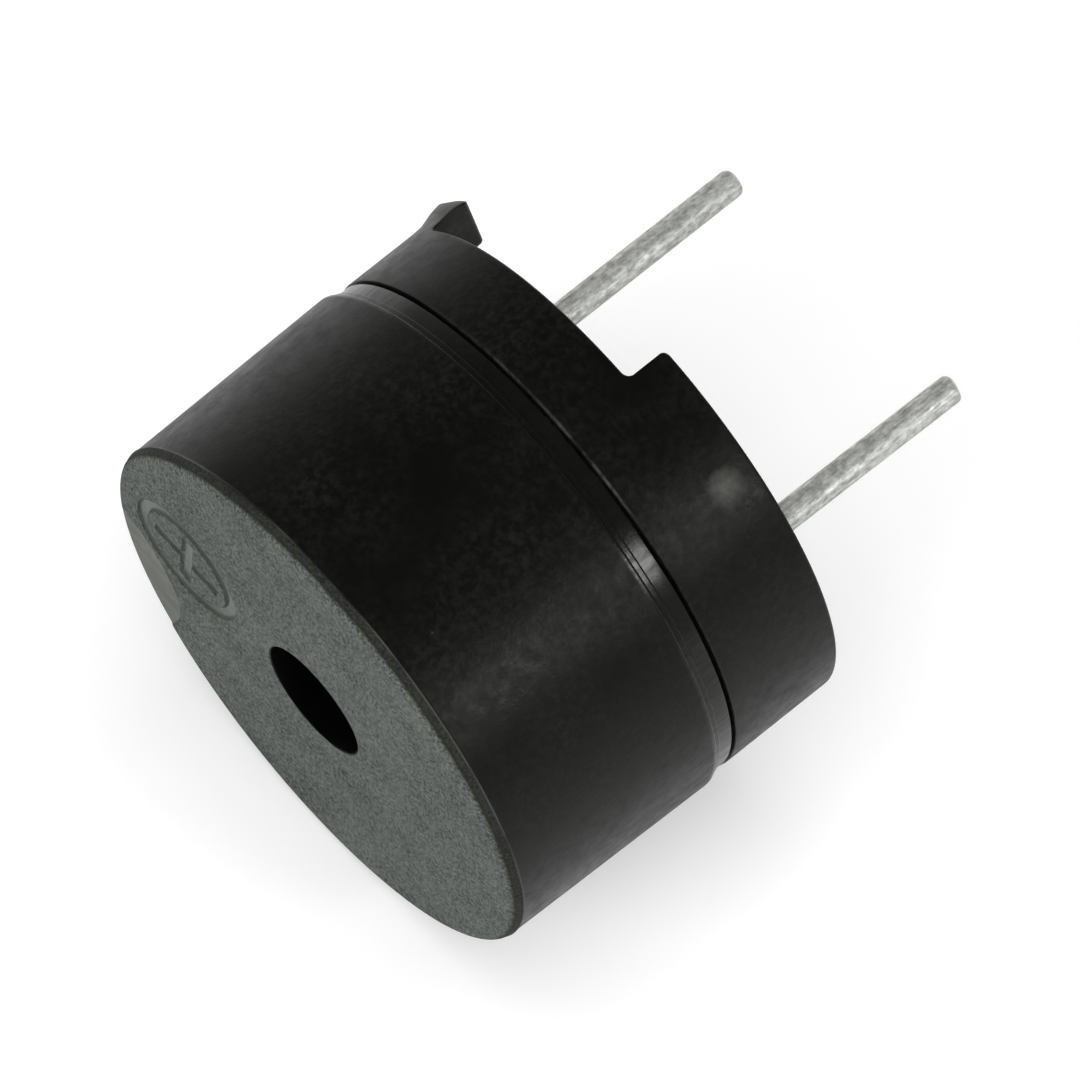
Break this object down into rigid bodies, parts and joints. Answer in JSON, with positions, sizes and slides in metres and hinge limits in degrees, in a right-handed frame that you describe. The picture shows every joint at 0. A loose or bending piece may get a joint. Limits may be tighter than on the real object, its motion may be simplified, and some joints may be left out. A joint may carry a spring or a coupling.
{
  "type": "electronic buzzer",
  "caption": "Round through-hole buzzer: black moulded cap with a central sound hole on a black base with moulded feet, and round wire pins below.",
  "frame": {"origin": "on the body's axis, in the plane of the feet's lower faces, which is the top face of the circuit board that the buzzer stands on, midway between the two pins", "axes": "+Z along the body's axis towards the face with the sound hole, with the pins pointing along -Z; +X from the axis to the positive pin; +Y completes the right-handed set"},
  "size_m": [0.012, 0.012, 0.0136],
  "materials": {
    "cap_plastic": "black moulded plastic, spark-eroded grain on the face, satin on the skirt",
    "base_plastic": "black moulded plastic, satin",
    "board_laminate": "phenolic laminate, matt, tan",
    "resin": "black potting resin with a smooth poured surface",
    "yoke_steel": "plated low-carbon steel, satin",
    "core_steel": "plated low-carbon steel, turned",
    "ferrite": "sintered ferrite, dark grey, matt",
    "enamelled_wire": "enamelled copper wire, red-brown, glossy",
    "spring_steel": "thin rolled steel sheet",
    "weight_steel": "thin rolled steel sheet",
    "tinned_wire": "tinned steel wire, dull",
    "solder": "soft solder, satin"
  },
  "bodies": {
    "root": {"sound_cap": "cap_plastic", "base_shell": "base_plastic", "terminal_board": "board_laminate", "sealing_resin": "resin", "yoke_plate": "yoke_steel", "pole_core": "core_steel", "ring_magnet": "ferrite", "coil_winding": "enamelled_wire", "diaphragm": "spring_steel", "diaphragm_weight": "weight_steel", "positive_pin": "tinned_wire", "negative_pin": "tinned_wire", "positive_coil_lead": "enamelled_wire", "negative_coil_lead": "enamelled_wire", "positive_solder": "solder", "negative_solder": "solder"}
  },
  "joints": []
}
